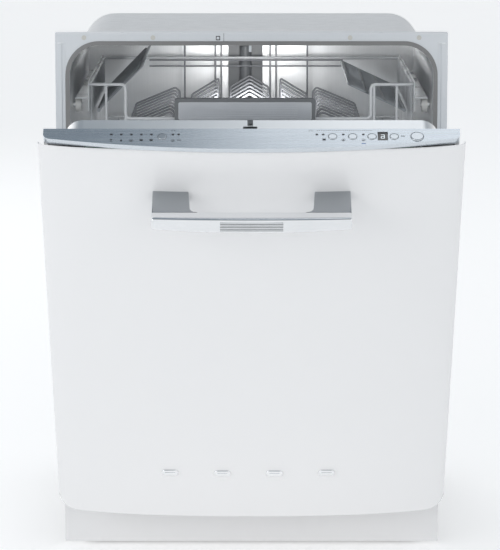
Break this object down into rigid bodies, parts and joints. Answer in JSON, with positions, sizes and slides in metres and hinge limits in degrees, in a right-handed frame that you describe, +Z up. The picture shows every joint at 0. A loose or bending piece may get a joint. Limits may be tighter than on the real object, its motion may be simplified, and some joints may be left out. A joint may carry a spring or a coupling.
{
  "type": "built-in dishwasher",
  "caption": "Built-in 60 cm dishwasher with a bulged retro door standing ajar, chrome bow handle and two sliding baskets.",
  "frame": {"origin": "on the floor under the centre of the bounding box, door ajar", "axes": "+X to the right seen from the front, +Y into the cabinet, +Z up"},
  "size_m": [0.598, 0.9522, 0.818],
  "materials": {
    "tub_steel": "satin stainless",
    "frame_steel": "galvanised and painted cool grey",
    "seal_rubber": "matte",
    "blanket": "pale pressed fleece",
    "tray_plastic": "moulded",
    "foot_plastic": "moulded",
    "zinc_steel": "zinc plated",
    "spring_steel": "oiled spring steel",
    "dark_plastic": "moulded",
    "filter_steel": "perforated sheet",
    "white_plastic": "moulded",
    "grey_plastic": "moulded",
    "clear_plastic": "translucent moulding",
    "hose_rubber": "matte",
    "coated_wire": "nylon coated wire",
    "shelf_plastic": "moulded",
    "white_enamel": "gloss enamel",
    "fascia_steel": "brushed",
    "chrome": "polished",
    "board": "coated board",
    "dark_glass": "smoked window",
    "button_metal": "satin chrome"
  },
  "bodies": {
    "cabinet": {"tub": "tub_steel", "front_frame": "frame_steel", "side_channels": "frame_steel", "door_gasket": "seal_rubber", "insulation_blanket": "blanket", "base_tray": "tray_plastic", "kick_plate": "white_enamel", "levelling_feet": "foot_plastic", "fixing_brackets": "zinc_steel", "hinge_brackets": "zinc_steel", "balance_springs": "spring_steel", "sump": "dark_plastic", "flat_filter": "filter_steel", "water_softener": "white_plastic", "circulation_pump": "dark_plastic", "drain_pump": "dark_plastic", "rear_duct": "grey_plastic", "inlet_valve": "white_plastic", "air_break": "clear_plastic", "hoses": "hose_rubber", "terminal_box": "dark_plastic", "cabinet_screws": "zinc_steel"},
    "door": {"door_liner": "tub_steel", "outer_panel": "white_enamel", "control_fascia": "fascia_steel", "handle_bar": "chrome", "handle_posts": "chrome", "front_studs": "chrome", "dispenser_body": "grey_plastic", "control_board": "board", "display_window": "dark_glass", "hinge_arms": "zinc_steel", "lower_door_seal": "seal_rubber"},
    "upper_basket_body": {"upper_basket": "coated_wire", "upper_tines": "coated_wire", "upper_handle": "grey_plastic", "upper_feed_tube": "grey_plastic"},
    "lower_basket_body": {"lower_basket": "coated_wire", "cutlery_basket": "grey_plastic"},
    "rollers_front": {"rollers_front": "white_plastic"},
    "rollers_rear": {"rollers_rear": "white_plastic"},
    "lower_spray_arm": {"lower_spray_arm": "grey_plastic"},
    "filter_cup": {"filter_cup": "grey_plastic"},
    "salt_cap": {"salt_cap": "white_plastic"},
    "overflow_float": {"overflow_float": "white_plastic"},
    "upper_spray_arm": {"upper_spray_arm": "grey_plastic"},
    "cup_shelf_left": {"cup_shelf_left": "shelf_plastic"},
    "cup_shelf_right": {"cup_shelf_right": "shelf_plastic"},
    "folding_tines": {"folding_tines": "coated_wire"},
    "wheels_front": {"wheels_front": "grey_plastic"},
    "wheels_rear": {"wheels_rear": "grey_plastic"},
    "dispenser_lid": {"dispenser_lid": "grey_plastic"},
    "rinse_aid_cap": {"rinse_aid_cap": "dark_plastic"},
    "door_latch": {"door_latch": "grey_plastic"},
    "button_delay": {"button_delay": "button_metal"},
    "button_program": {"button_program": "button_metal"},
    "button_half_load": {"button_half_load": "button_metal"},
    "button_option": {"button_option": "button_metal"},
    "button_start": {"button_start": "button_metal"},
    "button_power": {"button_power": "button_metal"}
  },
  "joints": [
    {"name": "door_hinge", "type": "hinge", "parent": "cabinet", "child": "door", "pos_m": [0, -0.07189, 0.122], "axis": [1, 0, 0], "range_deg": [-30, 60], "deforming": ["balance_springs"]},
    {"name": "upper_basket_slide", "type": "slide", "parent": "cabinet", "child": "upper_basket_body", "axis": [0, -1, 0], "range_m": [0, 0.19]},
    {"name": "lower_basket_slide", "type": "slide", "parent": "cabinet", "child": "lower_basket_body", "axis": [0, -1, 0], "range_m": [0, 0.045]},
    {"name": "rollers_front_turn", "type": "hinge", "parent": "cabinet", "child": "rollers_front", "pos_m": [0, 0.00611, 0.699], "axis": [1, 0, 0], "range_deg": [-5, 1100]},
    {"name": "rollers_rear_turn", "type": "hinge", "parent": "cabinet", "child": "rollers_rear", "pos_m": [0, 0.17611, 0.699], "axis": [1, 0, 0], "range_deg": [-5, 1100]},
    {"name": "wheels_front_turn", "type": "hinge", "parent": "lower_basket_body", "child": "wheels_front", "pos_m": [0, 0.03811, 0.141], "axis": [1, 0, 0], "range_deg": [-5, 220]},
    {"name": "wheels_rear_turn", "type": "hinge", "parent": "lower_basket_body", "child": "wheels_rear", "pos_m": [0, 0.34611, 0.141], "axis": [1, 0, 0], "range_deg": [-5, 220]},
    {"name": "lower_arm_spin", "type": "hinge", "parent": "cabinet", "child": "lower_spray_arm", "pos_m": [-0.01, 0.18611, 0.143], "axis": [0, 0, 1], "continuous": true},
    {"name": "upper_arm_spin", "type": "hinge", "parent": "upper_basket_body", "child": "upper_spray_arm", "pos_m": [-0.01, 0.18611, 0.55], "axis": [0, 0, 1], "continuous": true},
    {"name": "filter_cup_twist", "type": "hinge", "parent": "cabinet", "child": "filter_cup", "pos_m": [0.1, 0.08611, 0.12], "axis": [0, 0, 1], "range_deg": [0, 90]},
    {"name": "salt_cap_twist", "type": "hinge", "parent": "cabinet", "child": "salt_cap", "pos_m": [-0.18, 0.07611, 0.132], "axis": [0, 0, 1], "range_deg": [0, 90]},
    {"name": "float_rise", "type": "slide", "parent": "cabinet", "child": "overflow_float", "axis": [0, 0, 1], "range_m": [0, 0.008]},
    {"name": "cup_shelf_left_fold", "type": "hinge", "parent": "upper_basket_body", "child": "cup_shelf_left", "pos_m": [-0.238, -0.07389, 0.69], "axis": [0, 1, 0], "range_deg": [-35, 45]},
    {"name": "cup_shelf_right_fold", "type": "hinge", "parent": "upper_basket_body", "child": "cup_shelf_right", "pos_m": [0.238, -0.07389, 0.69], "axis": [0, 1, 0], "range_deg": [-25, 55]},
    {"name": "tine_row_fold", "type": "hinge", "parent": "lower_basket_body", "child": "folding_tines", "pos_m": [0, 0.15611, 0.174], "axis": [1, 0, 0], "range_deg": [-80, 0]},
    {"name": "dispenser_lid_swing", "type": "hinge", "parent": "door", "child": "dispenser_lid", "pos_m": [-0.101, -0.22789, 0.46841], "axis": [0, -0.5, 0.866], "range_deg": [0, 95]},
    {"name": "rinse_cap_twist", "type": "hinge", "parent": "door", "child": "rinse_aid_cap", "pos_m": [0.062, -0.23058, 0.46686], "axis": [0, 0.866, 0.5], "range_deg": [0, 90]},
    {"name": "latch_press", "type": "slide", "parent": "door", "child": "door_latch", "axis": [0, 0.5, -0.866], "range_m": [0, 0.004], "stiffness_N_per_m": 300, "springref_m": -0.002},
    {"name": "button_delay_press", "type": "slide", "parent": "door", "child": "button_delay", "axis": [0, 0.5, -0.866], "range_m": [0, 0.0015], "stiffness_N_per_m": 300, "springref_m": -0.001},
    {"name": "button_program_press", "type": "slide", "parent": "door", "child": "button_program", "axis": [0, 0.5, -0.866], "range_m": [0, 0.0015], "stiffness_N_per_m": 300, "springref_m": -0.001},
    {"name": "button_half_load_press", "type": "slide", "parent": "door", "child": "button_half_load", "axis": [0, 0.5, -0.866], "range_m": [0, 0.0015], "stiffness_N_per_m": 300, "springref_m": -0.001},
    {"name": "button_option_press", "type": "slide", "parent": "door", "child": "button_option", "axis": [0, 0.5, -0.866], "range_m": [0, 0.0015], "stiffness_N_per_m": 300, "springref_m": -0.001},
    {"name": "button_start_press", "type": "slide", "parent": "door", "child": "button_start", "axis": [0, 0.5, -0.866], "range_m": [0, 0.0015], "stiffness_N_per_m": 300, "springref_m": -0.001},
    {"name": "button_power_press", "type": "slide", "parent": "door", "child": "button_power", "axis": [0, 0.5, -0.866], "range_m": [0, 0.0015], "stiffness_N_per_m": 300, "springref_m": -0.001}
  ],
  "couplings": [
    {"joint": "rollers_front_turn", "follows": "upper_basket_slide", "rad_per_m": 90.909},
    {"joint": "rollers_rear_turn", "follows": "upper_basket_slide", "rad_per_m": 90.909},
    {"joint": "wheels_front_turn", "follows": "lower_basket_slide", "rad_per_m": 70.422},
    {"joint": "wheels_rear_turn", "follows": "lower_basket_slide", "rad_per_m": 70.422}
  ]
}
